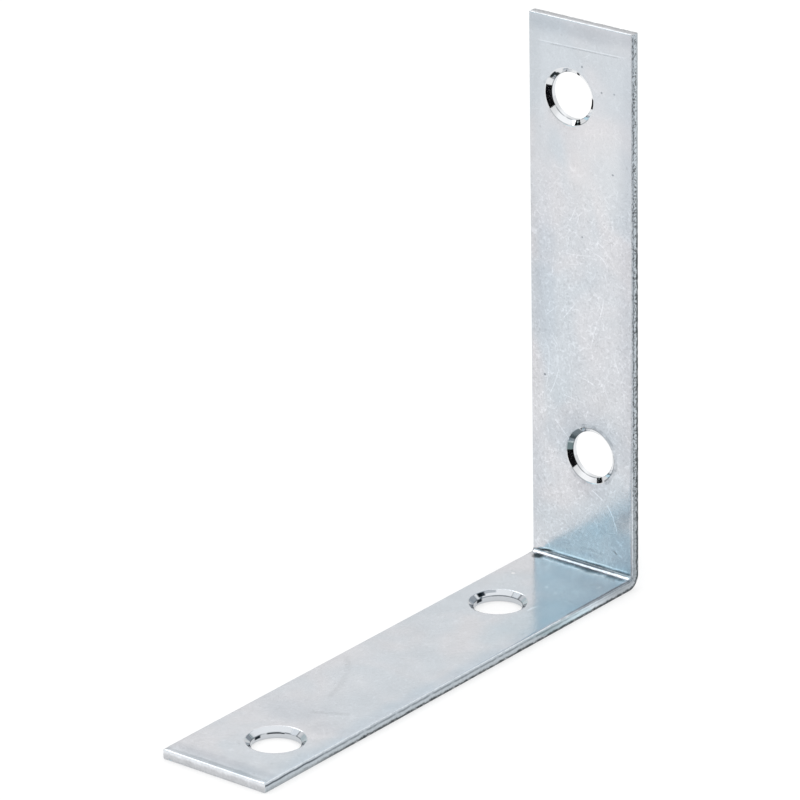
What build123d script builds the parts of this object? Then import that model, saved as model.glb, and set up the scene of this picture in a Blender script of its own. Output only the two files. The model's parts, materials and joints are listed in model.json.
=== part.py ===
from build123d import *
import os

# Corner brace: one strip of zinc-plated steel, punched flat with four countersunk
# holes and then folded once to a right angle.
#
# Frame, in millimetres: the base leg lies on the XY plane with its free end towards
# +X, the wall leg stands at the heel and rises along +Z, and the strip's width runs
# along Y. The origin is the middle of the base leg's underside.

# Strip
leg_length = 88.9
strip_width = 19.0
thickness = 1.65
edge_round = 0.18

# Fold
inner_bend_radius = 0.6
outer_bend_radius = inner_bend_radius + thickness

# Screw holes, sized for a flat-head wood screw with an 8.9 head
hole_diameter = 7.4
countersink_diameter = 9.0
countersink_angle = 100.0
rim_round = 0.3
exit_break = 0.2

# Hole places: distance along each leg, and offset to each side of the strip's middle
hole_from_heel = 20.1
hole_from_end = 12.0
left_row = 2.0
right_row = 1.6

heel_x = -leg_length / 2
end_x = leg_length / 2

# Inner face of each leg, with X running from the heel to the free end
base_face = Plane(origin=(heel_x, 0, thickness), x_dir=(1, 0, 0), z_dir=(0, 0, 1))
wall_face = Plane(origin=(heel_x + thickness, 0, 0), x_dir=(0, 0, 1), z_dir=(1, 0, 0))

# The holes zigzag along the flat strip. Seen on each inner face with the free end to
# the right, the hole by the heel is on the lower side and the end hole on the upper.
base_holes = [
    (hole_from_heel, -left_row),
    (leg_length - hole_from_end, right_row),
]
wall_holes = [
    (hole_from_heel, -right_row),
    (leg_length - hole_from_end, left_row),
]

with BuildPart() as corner_brace:
    # Folded section: the outer face's line, thickened inwards
    with BuildSketch(Plane.XZ):
        with BuildLine():
            FilletPolyline(
                (heel_x, leg_length),
                (heel_x, 0),
                (end_x, 0),
                radius=outer_bend_radius,
            )
            offset(amount=thickness, side=Side.LEFT)
        make_face()
    extrude(amount=strip_width / 2, both=True)

    # Rolled edges left by slitting and cropping the strip
    side_edges = corner_brace.faces().filter_by(Axis.Y).edges()
    top_end = corner_brace.faces().sort_by(Axis.Z)[-1]
    free_end = corner_brace.faces().sort_by(Axis.X)[-1]
    end_edges = (top_end.edges() + free_end.edges()).filter_by(Axis.Y)
    fillet(side_edges + end_edges, radius=edge_round)

    # Countersunk screw holes, punched from the inner faces
    for face, places in ((base_face, base_holes), (wall_face, wall_holes)):
        with Locations(face):
            with Locations(*places):
                CounterSinkHole(
                    radius=hole_diameter / 2,
                    counter_sink_radius=countersink_diameter / 2,
                    counter_sink_angle=countersink_angle,
                    depth=thickness,
                )

    # Softened countersink rims on the inner faces
    hole_edges = corner_brace.edges().filter_by(lambda edge: edge.is_closed)
    rims = hole_edges.group_by(SortBy.RADIUS)[-1]
    fillet(rims, radius=rim_round)

    # Break-out on the outer faces, where the punch left the strip
    underside = corner_brace.faces().sort_by(Axis.Z)[0]
    back = corner_brace.faces().sort_by(Axis.X)[0]
    exits = (underside.edges() + back.edges()).filter_by(GeomType.CIRCLE)
    chamfer(exits, length=exit_break)

corner_brace.part.label = "corner_brace"

os.makedirs("parts", exist_ok=True)
export_step(corner_brace.part, "parts/corner_brace.step")
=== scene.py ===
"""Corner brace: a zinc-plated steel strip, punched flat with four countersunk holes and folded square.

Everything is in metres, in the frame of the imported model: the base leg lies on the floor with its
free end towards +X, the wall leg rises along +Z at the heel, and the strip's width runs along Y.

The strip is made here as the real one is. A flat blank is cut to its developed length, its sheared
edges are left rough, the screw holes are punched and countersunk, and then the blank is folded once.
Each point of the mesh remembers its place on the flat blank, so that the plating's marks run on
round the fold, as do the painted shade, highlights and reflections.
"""

from __future__ import annotations

import json
import logging
import math
from collections.abc import Callable, Iterator, Mapping, Sequence
from contextlib import contextmanager
from dataclasses import dataclass, field
from enum import Enum
from typing import Any

import bmesh
import bpy
import numpy as np
from mathutils import Matrix, Vector

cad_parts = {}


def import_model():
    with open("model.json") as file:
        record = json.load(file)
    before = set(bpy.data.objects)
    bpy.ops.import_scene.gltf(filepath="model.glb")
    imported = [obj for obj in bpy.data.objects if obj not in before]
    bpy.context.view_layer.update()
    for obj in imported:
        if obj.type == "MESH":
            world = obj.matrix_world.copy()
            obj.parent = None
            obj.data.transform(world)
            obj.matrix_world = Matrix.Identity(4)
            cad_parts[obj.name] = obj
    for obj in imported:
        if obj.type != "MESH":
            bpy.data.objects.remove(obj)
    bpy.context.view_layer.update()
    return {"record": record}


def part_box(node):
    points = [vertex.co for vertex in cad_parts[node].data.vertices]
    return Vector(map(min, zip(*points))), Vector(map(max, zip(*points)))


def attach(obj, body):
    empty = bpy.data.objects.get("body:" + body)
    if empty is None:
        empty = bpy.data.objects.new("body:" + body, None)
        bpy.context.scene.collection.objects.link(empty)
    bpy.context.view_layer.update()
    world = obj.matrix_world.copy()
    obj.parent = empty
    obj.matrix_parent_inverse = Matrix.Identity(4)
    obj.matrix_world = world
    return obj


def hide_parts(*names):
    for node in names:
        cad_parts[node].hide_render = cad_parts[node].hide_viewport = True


MM = 0.001
TINY = 1e-6

Tone = tuple[float, float, float]

log = logging.getLogger("corner_brace")


class Pick(Enum):
    """What a selection in edit mode is made of."""

    VERTS = "VERT"
    EDGES = "EDGE"
    FACES = "FACE"


class Leg(Enum):
    """The two legs of the brace, by the sign of their place along the flat blank."""

    BASE = 1
    WALL = -1


class Hole(Enum):
    """The four screw holes, in the order of the record's mounts."""

    BASE_HEEL = 0
    BASE_END = 1
    WALL_HEEL = 2
    WALL_END = 3


class Paper(Enum):
    """The papers of the floor and of the sheets that the metal mirrors."""

    FLOOR = "floor_paper"
    COOL = "cool_sheet"
    DARK = "dark_sheet"
    GREY = "grey_sheet"
    DIM = "dim_sheet"
    LAMP = "soft_lamp"


def only(piece: bpy.types.Object) -> None:
    """Select one object alone and make it the active one.

    Args:
        piece: The object.
    """
    bpy.ops.object.select_all(action="DESELECT")
    piece.select_set(True)
    bpy.context.view_layer.objects.active = piece


@contextmanager
def editing(piece: bpy.types.Object) -> Iterator[None]:
    """Hold one object in edit mode, with nothing else selected.

    Args:
        piece: The mesh object to edit.
    """
    only(piece)
    bpy.ops.object.mode_set(mode="EDIT")
    try:
        yield
    finally:
        bpy.ops.object.mode_set(mode="OBJECT")


def select(kind: Pick, test: Callable[[Any], bool]) -> int:
    """Select the parts of the mesh being edited that pass a test, and no others.

    Args:
        kind: Whether to pick vertices, edges or faces.
        test: Takes one such part and tells whether to pick it.

    Returns:
        How many parts were picked.
    """
    bpy.ops.mesh.select_mode(type=kind.value)
    bpy.ops.mesh.select_all(action="DESELECT")
    mesh = bpy.context.active_object.data
    work = bmesh.from_edit_mesh(mesh)
    parts = {Pick.VERTS: work.verts, Pick.EDGES: work.edges, Pick.FACES: work.faces}[kind]
    picked = [part for part in parts if test(part)]
    for part in picked:
        part.select_set(True)
    work.select_flush_mode()
    bmesh.update_edit_mesh(mesh, loop_triangles=False, destructive=False)
    return len(picked)


def runs_along(edge: bmesh.types.BMEdge, axis: int) -> bool:
    """Tell whether an edge is parallel to X (0), Y (1) or Z (2)."""
    span = edge.verts[1].co - edge.verts[0].co
    return all(abs(span[other]) < TINY for other in range(3) if other != axis)


def apply_modifier(piece: bpy.types.Object, kind: str, **settings: Any) -> None:
    """Add a modifier to an object, set it and apply it.

    Args:
        piece: The mesh object.
        kind: The modifier's type, such as BOOLEAN.
        settings: The modifier's own settings.
    """
    only(piece)
    modifier = piece.modifiers.new(kind.title(), kind)
    for name, value in settings.items():
        setattr(modifier, name, value)
    bpy.ops.object.modifier_apply(modifier=modifier.name)


def points_of(piece: bpy.types.Object) -> np.ndarray:
    """Read the places of a mesh's points.

    Args:
        piece: The mesh object.

    Returns:
        The places, one row for each point.
    """
    places = np.empty(len(piece.data.vertices) * 3)
    piece.data.vertices.foreach_get("co", places)
    return places.reshape(-1, 3)


def press(
    piece: bpy.types.Object,
    axis: str,
    depth: float,
    weights: np.ndarray,
    grain: Grain | None = None,
) -> None:
    """Push a surface along one axis, by a weight for each point and through a grain if there is one.

    Args:
        piece: The mesh object.
        axis: X, Y or Z.
        depth: How far a point of full weight moves; negative is backwards along the axis.
        weights: One weight for each point of the mesh, from 0 to 1, or true or false.
        grain: The grain that the push leaves, or none for an even push.
    """
    group = piece.vertex_groups.new(name="press")
    for index in np.flatnonzero(weights > 0):
        group.add([int(index)], float(weights[index]), "REPLACE")
    settings = {"direction": axis, "strength": depth, "mid_level": 0.0, "vertex_group": group.name}
    if grain is not None:
        settings |= {"texture_coords": "LOCAL", "texture": grain.texture()}
    apply_modifier(piece, "DISPLACE", **settings)
    piece.vertex_groups.remove(piece.vertex_groups["press"])


def heading(azimuth: float, elevation: float) -> Vector:
    """The direction at an azimuth from +X and a height over the floor, in radians."""
    level = math.cos(elevation)
    return Vector((level * math.cos(azimuth), level * math.sin(azimuth), math.sin(elevation)))


def flat_sheet(
    name: str,
    place: Sequence[float],
    turn: Sequence[float],
    sides: tuple[float, float],
) -> bpy.types.Object:
    """Add a flat sheet, with its place and size in its mesh.

    Args:
        name: Its name.
        place: Its middle.
        turn: Its turn about X, Y and Z.
        sides: The lengths of its sides.

    Returns:
        The sheet.
    """
    bpy.ops.object.select_all(action="DESELECT")
    bpy.ops.mesh.primitive_plane_add(size=1, location=place, rotation=turn)
    sheet = bpy.context.active_object
    sheet.name = name
    sheet.scale = (*sides, 1)
    bpy.ops.object.transform_apply(location=True, rotation=True, scale=True)
    return sheet


class Signal:
    """One output of a shader node, which takes part in arithmetic."""

    def __init__(self, bench: Bench, socket: bpy.types.NodeSocket) -> None:
        """Keep the socket and the bench that it belongs to."""
        self.bench = bench
        self.socket = socket

    def __add__(self, other: Signal | float) -> Signal:
        """Add."""
        return self.bench.maths("ADD", self, other)

    __radd__ = __add__

    def __sub__(self, other: Signal | float) -> Signal:
        """Subtract."""
        return self.bench.maths("SUBTRACT", self, other)

    def __rsub__(self, other: float) -> Signal:
        """Subtract from a number."""
        return self.bench.maths("SUBTRACT", other, self)

    def __mul__(self, other: Signal | float) -> Signal:
        """Multiply."""
        return self.bench.maths("MULTIPLY", self, other)

    __rmul__ = __mul__

    def __truediv__(self, other: Signal | float) -> Signal:
        """Divide."""
        return self.bench.maths("DIVIDE", self, other)

    def __abs__(self) -> Signal:
        """Drop the sign."""
        return self.bench.maths("ABSOLUTE", self)

    def least(self, other: Signal | float) -> Signal:
        """The smaller of the two."""
        return self.bench.maths("MINIMUM", self, other)

    def most(self, other: Signal | float) -> Signal:
        """The larger of the two."""
        return self.bench.maths("MAXIMUM", self, other)

    def ramp(self, low: float, high: float) -> Signal:
        """Turn the signal into a smooth step, which falls where high is smaller than low.

        Args:
            low: Where the step is 0.
            high: Where it is 1.

        Returns:
            The step.
        """
        settings = {"interpolation_type": "SMOOTHSTEP"}
        inputs = {"Value": self, "From Min": low, "From Max": high}
        return self.bench.node("ShaderNodeMapRange", settings, inputs)["Result"]


class Bench:
    """The node tree of a material or a world, with one call for any node."""

    def __init__(self, owner: bpy.types.Material | bpy.types.World) -> None:
        """Clear a node tree and take it over.

        Args:
            owner: The material or world that has it.
        """
        owner.use_nodes = True
        self.owner = owner
        self.tree = owner.node_tree
        self.tree.nodes.clear()

    def node(
        self,
        kind: str,
        settings: Mapping[str, Any] | None = None,
        inputs: Mapping[str | int, Any] | None = None,
    ) -> dict[str, Signal]:
        """Add one node.

        Args:
            kind: The node's type.
            settings: Its own settings, set first. Stops are a ramp's places and colours.
            inputs: Values or signals for its sockets, by name or number.

        Returns:
            Its enabled outputs by name.
        """
        made = self.tree.nodes.new(kind)
        for name, value in (settings or {}).items():
            if name == "stops":
                self._set_stops(made.color_ramp.elements, value)
            else:
                setattr(made, name, value)
        for name, value in (inputs or {}).items():
            socket = made.inputs[name]
            if isinstance(value, Signal):
                self.tree.links.new(value.socket, socket)
            else:
                socket.default_value = value
        return {out.name: Signal(self, out) for out in made.outputs if out.enabled}

    @staticmethod
    def _set_stops(elements: Any, stops: Sequence[tuple[float, Sequence[float]]]) -> None:
        """Give a ramp its stops.

        Args:
            elements: The ramp's elements.
            stops: The stops' places and colours.
        """
        while len(elements) < len(stops):
            elements.new(1.0)
        for element, (place, colour) in zip(elements, stops):
            element.position = place
            element.color = (*colour, 1.0)

    def maths(self, operation: str, *values: Signal | float) -> Signal:
        """Add a Math node for one operation on signals or numbers."""
        inputs = dict(enumerate(values))
        return self.node("ShaderNodeMath", {"operation": operation}, inputs)["Value"]

    def mix(self, share: Signal | float, first: Any, second: Any, blend: str = "MIX") -> Signal:
        """Mix two colours.

        Args:
            share: How much of the second there is, from 0 to 1.
            first: The colour below, or a signal.
            second: The colour above, or a signal.
            blend: The way to mix them.

        Returns:
            The mixed colour.
        """
        settings = {"data_type": "RGBA", "blend_type": blend}
        inputs = {0: share, 6: self._opaque(first), 7: self._opaque(second)}
        return self.node("ShaderNodeMix", settings, inputs)["Result"]

    def tint(self, colour: Any, brightness: Signal) -> Signal:
        """Scale a colour by a number."""
        grey = self.node("ShaderNodeCombineColor", inputs={0: brightness, 1: brightness, 2: brightness})
        return self.mix(1.0, colour, grey["Color"], "MULTIPLY")

    def vector(self, operation: str, *values: Any) -> Signal:
        """Add a Vector Math node for one operation on vectors."""
        out = self.node("ShaderNodeVectorMath", {"operation": operation}, dict(enumerate(values)))
        return next(iter(out.values()))

    def bands(self, height: Signal, stops: Sequence[tuple[float, Tone]]) -> Signal:
        """The colour at a height in a stack of bands that run into each other."""
        return self.node("ShaderNodeValToRGB", {"stops": stops}, {"Fac": height})["Color"]

    @staticmethod
    def _opaque(colour: Any) -> Any:
        """A plain colour with its fourth number, or a signal as it is."""
        return colour if isinstance(colour, Signal) else (*colour, 1.0)

    def finish(self, surface: Signal) -> Any:
        """Send a shader to the output.

        Args:
            surface: The shader.

        Returns:
            The material or world, finished.
        """
        kind = "World" if isinstance(self.owner, bpy.types.World) else "Material"
        self.node(f"ShaderNodeOutput{kind}", inputs={"Surface": surface})
        return self.owner


class Blank(Bench):
    """The node tree of the strip's finish, which knows where a shaded point lies on the flat blank.

    Its places are signals in millimetres.
    """

    def __init__(self, owner: bpy.types.Material, strip: FoldedStrip) -> None:
        """Read the place that the mesh remembers, and work out what follows from it.

        Args:
            owner: The material to build.
            strip: The strip that wears it.
        """
        super().__init__(owner)
        self.strip = strip
        stored = self.node("ShaderNodeAttribute", {"attribute_name": "blank_place"})["Vector"]
        self.point = self.vector("MULTIPLY", stored, (1 / MM, 1 / MM, 1 / MM))
        self.flat = self.vector("MULTIPLY", self.point, (1, 1, 0))
        parts = self.node("ShaderNodeSeparateXYZ", inputs={0: self.point})
        self.along, self.across, self.up = parts.values()
        middle = (strip.fold_start + strip.fold_foot) / 2 / MM
        inside = (strip.fold_radius - strip.fold_length / 2) / MM
        self.from_heel = abs(self.along - middle) + inside
        self.on_wall = self.maths("LESS_THAN", self.along, middle)
        wall_end, base_end = (end / MM for end in strip.blank_ends)
        self.past_ends = (self.along - base_end).most(wall_end - self.along)

    def spot(self, leg: Leg, from_heel: float, across: float, up: float = 0.0) -> Vector:
        """The place on the blank of a spot on one leg, all in millimetres."""
        return Vector((self.strip.along(leg, from_heel * MM) / MM, across, up))

    def noise(
        self,
        size: float,
        detail: float = 2.0,
        bend: float = 0.0,
        shift: tuple[float, float, float] | None = None,
    ) -> Signal:
        """Noise about 0.5 over the blank.

        Args:
            size: How large its lumps are.
            detail: How many finer levels it has.
            bend: How far its lumps are bent.
            shift: How far it is moved, to differ from other noise of its size.

        Returns:
            The noise.
        """
        place = self.vector("ADD", self.point, shift) if shift else self.point
        inputs = {"Vector": place, "Scale": 1 / size, "Detail": detail, "Distortion": bend}
        return self.node("ShaderNodeTexNoise", inputs=inputs)["Fac"]


@dataclass(frozen=True)
class LineMark:
    """One line on an inner face, bowed like the arc of a wrist: most are hair scratches, and a few
    are painted highlight and shade lines.

    Its ends are millimetres from the heel and across the strip, and so are its bow, its half width
    and the length of its faded ends. Its lift is how much brighter it is than the face, or below
    nought how much darker.
    """

    leg: Leg
    start: tuple[float, float]
    end: tuple[float, float]
    lift: float = 0.16
    bow: float = 0.0
    width: float = 0.11
    fade: float = 0.8

    def share(self, blank: Blank) -> Signal:
        """How much of the line there is at a point.

        Args:
            blank: The material's node tree.

        Returns:
            The mark's lift on its line, and 0 off it.
        """
        first, last = (blank.spot(self.leg, *end) for end in (self.start, self.end))
        length = (last - first).length
        run = (last - first).normalized()
        normal = Vector((-run.y, run.x, 0))
        reached, aside = (
            blank.vector("DOT_PRODUCT", blank.point, way) - first.dot(way) for way in (run, normal)
        )
        if self.bow:
            aside = aside - 4 * self.bow / length**2 * reached * (length - reached)
        fade = min(self.fade, length / 3)
        ends = reached.ramp(0, fade) * reached.ramp(length, length - fade)
        return abs(aside).ramp(self.width, self.width / 4) * ends * self.lift


class Mark:
    """A mark that tints the plating below it."""

    gain: Tone

    def share(self, blank: Blank, ragged: Signal) -> Signal:
        """How much of the mark there is at a point, with an outline made uneven by noise."""
        raise NotImplementedError

    def over(self, colour: Signal, blank: Blank, ragged: Signal) -> Signal:
        """Lay the mark over a colour, with an outline made uneven by noise."""
        return blank.mix(self.share(blank, ragged), colour, self.gain, "MULTIPLY")


@dataclass(frozen=True)
class TonePatch(Mark):
    """A soft patch of another tone, near an inner face. Most are stains and tones of the plating; the
    patches at the fold, beside the base's free end and low on the wall leg are painted shade and
    reflections.

    Its middle and its reach are millimetres from the heel and across the strip, and its depth is its
    reach in height. It is full out to its core and gone at its rim, which are shares of its reach.
    """

    leg: Leg
    middle: tuple[float, float]
    reach: tuple[float, float]
    gain: Tone
    depth: float = 0.8
    height: float = 1.6
    core: float = 0.3
    rim: float = 1.05

    def share(self, blank: Blank, ragged: Signal) -> Signal:
        """How much of the patch there is at a point.

        Args:
            blank: The material's node tree.
            ragged: Noise that makes the patch's outline uneven.

        Returns:
            1 in its core, and 0 off it.
        """
        away = blank.vector("SUBTRACT", blank.point, blank.spot(self.leg, *self.middle, self.height))
        scaled = blank.vector("DIVIDE", away, (*self.reach, self.depth))
        return (blank.vector("LENGTH", scaled) + ragged).ramp(self.rim, self.core)


@dataclass(frozen=True)
class Arc(Mark):
    """A mark that runs part of the way round a screw hole. In the countersinks the marks are painted
    reflections: dark ones of the studio, and dimmed ones of the lamp. Low on the lands they are
    partly burr marks and partly painted shade.

    Its angles are degrees from +Y towards the leg's free end: the middle, how far it reaches to each
    side, and how soft its ends are. Its heights and their softness are millimetres above the outer
    face. It fades out between two distances from the hole's middle.
    """

    hole: Hole
    middle: float
    reach: float
    heights: tuple[float, float]
    gain: Tone
    turn_soft: float = 2.5
    height_soft: float = 0.03
    outer: tuple[float, float] = (5.2, 5.0)
    uneven_turn: float = 0.01
    uneven_height: float = 0.08

    def share(self, blank: Blank, ragged: Signal) -> Signal:
        """How much of the mark there is at a point.

        Args:
            blank: The material's node tree.
            ragged: Noise that makes the mark's outline uneven.

        Returns:
            1 on the mark, and 0 off it.
        """
        free_end = 1 if self.hole in (Hole.BASE_HEEL, Hole.BASE_END) else -1
        angle = math.radians(self.middle)
        outward = (math.sin(angle) * free_end, math.cos(angle), 0.0)
        away = blank.vector("SUBTRACT", blank.flat, blank.strip.holes[self.hole.value].centre)
        turned = blank.vector("DOT_PRODUCT", blank.vector("NORMALIZE", away), outward)
        edge, inside = (
            math.cos(math.radians(self.reach + turn)) for turn in (self.turn_soft, -self.turn_soft)
        )
        low, high = self.heights
        soft = self.height_soft
        height = blank.up + self.uneven_height * ragged
        band = height.ramp(low - soft, low + soft) * height.ramp(high + soft, high - soft)
        near = blank.vector("LENGTH", away).ramp(*self.outer)
        return (turned + self.uneven_turn * ragged).ramp(edge, inside) * near * band


def each(kind: Callable[..., Any], where: Leg | Hole, *rows: tuple[Any, ...]) -> tuple[Any, ...]:
    """Make marks of one kind on one leg or at one hole, from rows of their other fields."""
    return tuple(kind(where, *row) for row in rows)


SCRATCHES_AND_PAINTED_LINES = each(
    LineMark,
    Leg.WALL,
    ((60.1, -0.8), (57.0, -2.3), 0.26, 0.15),
    ((53.0, 2.0), (50.9, 5.0), 0.20, 0.8),
    ((52.0, -4.2), (52.6, 2.3), 0.16, -0.2),
    ((40.8, -7.0), (43.3, -4.2), 0.18),
    ((41.2, -3.5), (43.8, -1.4), 0.24),
    ((38.5, -6.4), (36.3, -4.2), 0.18, 0.2),
    ((46.4, 4.2), (42.6, 3.3), 0.24, 0.2),
    ((42.4, 3.0), (37.0, 1.6), 0.15),
    ((46.8, 2.6), (45.0, 0.8), 0.14, 0.2),
    ((38.4, 6.0), (34.4, 7.4), 0.20, -0.3),
    ((32.6, -0.8), (31.5, 3.0), 0.20, 0.2),
    ((31.3, 2.6), (33.8, 4.7), 0.16, -0.4),
    ((36.0, -6.2), (29.0, -6.9), 0.18, 0.4),
    ((33.5, -4.1), (28.3, -6.1), 0.20, 0.2),
    ((29.0, -4.0), (28.4, 1.0), 0.16),
    ((24.8, -5.3), (21.8, -2.3), 0.26),
    ((27.6, 1.3), (25.8, 0.7), 0.24),
    ((14.7, 1.6), (13.1, 4.4), 0.28, 0.0, 0.15),
    ((13.1, 4.5), (8.4, 6.7), 0.42, 0.3, 0.15),
    ((7.5, 6.3), (6.6, 7.8), 0.34, 0.0, 0.2),
    ((4.3, -0.6), (4.5, 4.0), -0.16, 0.2, 0.4),
    ((10.8, 0.2), (12.6, 2.6), 0.12),
    ((83.4, 0.5), (84.6, 2.2), 0.10),
    ((77.5, 3.0), (78.8, 4.0), -0.10),
    # Painted highlight and painted shade: a light and a dark line along the scored line.
    ((84.75, -8.0), (85.1, 8.6), 0.18, 0.0, 0.10),
    ((84.5, -6.0), (84.85, 7.4), -0.20, 0.0, 0.10),
    # Painted highlight along the ridge beside the crease.
    ((2.62, -8.0), (2.62, 9.0), 0.50, 0.0, 0.22),
    ((5.7, 5.7), (4.9, 6.9), -0.42, 0.0, 0.22),
    ((5.1, 7.0), (4.7, 7.7), 0.24, 0.0, 0.2),
) + each(
    LineMark,
    Leg.BASE,
    ((1.5, 9.15), (18.0, 9.15), -0.35, 0.0, 0.22),
    ((48.5, -8.4), (61.5, -1.2), -0.07, 1.2, 0.8),
    ((64.0, 5.2), (67.0, -0.5), -0.10, 0.0, 0.7),
    ((20.6, 3.6), (17.4, 4.0), 0.25, 0.2, 0.2),
)
TONES = each(
    TonePatch,
    Leg.WALL,
    ((88.9, 0), (4.5, 16), (0.92, 0.93, 0.94)),
    ((87.5, 0), (1.6, 16), (0.88, 0.89, 0.90)),
    ((78, -9.4), (22, 3.0), (0.92, 0.92, 0.92)),
    ((14, -9.4), (14, 3.0), (0.90, 0.91, 0.92)),
    ((50, 9.4), (54, 3.0), (0.92, 0.92, 0.93)),
    ((66, 3.0), (11, 7.0), (1.08, 1.05, 1.03)),
    ((48, -6.6), (20, 2.6), (0.91, 0.93, 0.95)),
    # Painted reflection: these two darken the wall leg about 12 to 30 mm up, where its face mirrors the
    # darker floor near the brace.
    ((23, 0.5), (7.5, 9), (0.87, 0.89, 0.91)),
    ((15.5, 1.0), (4, 5), (0.88, 0.88, 0.89)),
    ((4.6, -4.0), (0.8, 3.5), (0.92, 0.93, 0.94), 0.5),
    ((3.6, 1.0), (0.6, 3.5), (0.86, 0.88, 0.90), 0.5),
    ((27, 0), (7, 14), (0.96, 0.97, 0.97)),
    ((46, -9.4), (24, 3.0), (0.92, 0.91, 0.91)),
    ((6, 8.0), (4.5, 4.0), (0.92, 0.92, 0.93)),
) + each(
    TonePatch,
    Leg.BASE,
    ((6, 5.5), (5, 5), (0.90, 0.91, 0.92)),
    ((9, 8.8), (7, 3.6), (0.88, 0.88, 0.89)),
    ((86.6, 0), (1.5, 16), (0.92, 0.92, 0.93)),
    # Painted shade on the base's inner face at its free end, which sets the end's highlight lower.
    ((88.3, 0), (0.8, 16), (0.70, 0.71, 0.72), 0.6),
    ((50, 9.6), (60, 3.2), (0.88, 0.93, 0.96)),
    ((24, 6.0), (14, 5.5), (0.87, 0.95, 0.98)),
    ((68, -3.0), (5, 8), (0.89, 0.92, 0.94)),
    ((56, -2.0), (7, 5), (1.06, 1.04, 1.03)),
    ((70, 5.0), (3, 3), (0.93, 0.94, 0.95)),
    # Painted reflection: a darker band along the base's free end, where the rolled-down face mirrors a
    # dimmer part of the studio.
    ((88.9, 0), (4.5, 16), (0.84, 0.88, 0.90)),
)
# Painted shade at the fold: darker bands across the crease and beside it, and near-black spots where
# the fold meets the far edge.
FOLD_PAINTED_SHADE = each(
    TonePatch,
    Leg.WALL,
    ((1.8, -8.0), (0.6, 1.4), (0.14, 0.15, 0.16), 0.6),
) + each(
    TonePatch,
    Leg.BASE,
    ((2.9, -7.5), (1.2, 1.3), (0.04, 0.05, 0.05), 0.6),
    ((2.9, 2.0), (0.9, 2.6), (0.50, 0.54, 0.56), 0.5),
    ((3.0, 6.8), (1.0, 2.4), (0.50, 0.54, 0.56), 0.5),
    ((-0.25, 0.0), (0.78, 14.0), (0.20, 0.23, 0.25), 0.5),
    ((0.8, 0.0), (0.9, 14.0), (0.54, 0.60, 0.64), 0.6),
    ((2.3, 0.0), (1.12, 14.0), (0.27, 0.31, 0.33), 0.5),
)
SMALL_MARKS = each(
    TonePatch,
    Leg.WALL,
    ((82.1, 0.4), (0.24, 0.24), (0.5, 0.52, 0.54), 0.4),
    ((78.8, 4.0), (0.22, 0.22), (0.5, 0.52, 0.54), 0.4),
    ((79.0, 6.3), (0.24, 0.24), (0.6, 0.62, 0.64), 0.4),
    ((66.3, 6.0), (0.22, 0.30), (0.5, 0.52, 0.54), 0.4),
    ((55.2, 0.3), (0.22, 0.22), (0.5, 0.52, 0.54), 0.4),
    ((31.4, -6.9), (0.24, 0.24), (0.4, 0.42, 0.44), 0.4),
) + each(
    TonePatch,
    Leg.BASE,
    ((7.0, 9.42), (15.0, 0.34), (0.42, 0.45, 0.47), 0.30, 1.56),
    ((10.4, -6.6), (0.45, 0.45), (1.35, 1.3, 1.25), 0.4),
    ((11.5, 0.7), (0.34, 0.34), (1.30, 1.26, 1.22), 0.4),
    ((12.4, 3.0), (0.34, 0.34), (1.22, 1.19, 1.16), 0.4),
    ((6.9, 7.1), (0.9, 0.36), (1.24, 1.21, 1.18), 0.4),
)
# Painted reflections in the countersinks, dark and dimmed; the marks low on the lands are partly burr
# marks and partly painted shade.
HOLE_REFLECTIONS_AND_MARKS = each(
    Arc,
    Hole.WALL_END,
    (138, 10, (1.28, 1.56), (0.04, 0.05, 0.05)),
    (131, 6, (0.99, 1.32), (0.05, 0.06, 0.06)),
    (145, 4, (0.99, 1.26), (0.45, 0.46, 0.48)),
    (290, 6, (1.30, 1.57), (0.04, 0.05, 0.05)),
    (308, 14, (1.55, 1.62), (0.45, 0.46, 0.47)),
    (240, 26, (1.57, 1.63), (0.60, 0.62, 0.63)),
    (272, 14, (1.56, 1.64), (0.90, 0.82, 0.79)),
) + each(
    Arc,
    Hole.WALL_HEEL,
    (136, 17, (1.00, 1.63), (0.24, 0.28, 0.29)),
    (174, 10, (1.00, 1.60), (0.27, 0.32, 0.33)),
    (70, 44, (1.54, 1.64), (0.26, 0.28, 0.30)),
    (340, 34, (1.46, 1.64), (0.36, 0.38, 0.40)),
    (246, 28, (1.57, 1.64), (0.52, 0.54, 0.56)),
) + each(
    Arc,
    Hole.BASE_HEEL,
    (194, 9, (1.16, 1.57), (0.03, 0.04, 0.05)),
    (214, 14, (1.34, 1.62), (0.58, 0.60, 0.62)),
    (182, 9, (0.45, 0.97), (0.02, 0.03, 0.04)),
    (166, 12, (1.00, 1.60), (0.72, 0.76, 0.78)),
    (250, 32, (0.90, 1.00), (0.34, 0.36, 0.38)),
    (277, 12, (0.99, 1.62), (0.41, 0.42, 0.43)),
    (300, 11, (0.99, 1.60), (0.86, 0.88, 0.90)),
) + each(
    Arc,
    Hole.BASE_END,
    (184, 9, (0.52, 0.97), (0.02, 0.03, 0.04)),
    (230, 20, (0.78, 0.98), (0.06, 0.07, 0.08)),
    (262, 14, (0.88, 0.99), (0.55, 0.56, 0.58)),
    (162, 10, (1.00, 1.60), (0.62, 0.64, 0.66)),
    (275, 10, (0.99, 1.62), (0.41, 0.42, 0.43)),
    (306, 12, (0.99, 1.60), (0.82, 0.84, 0.86)),
)


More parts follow.
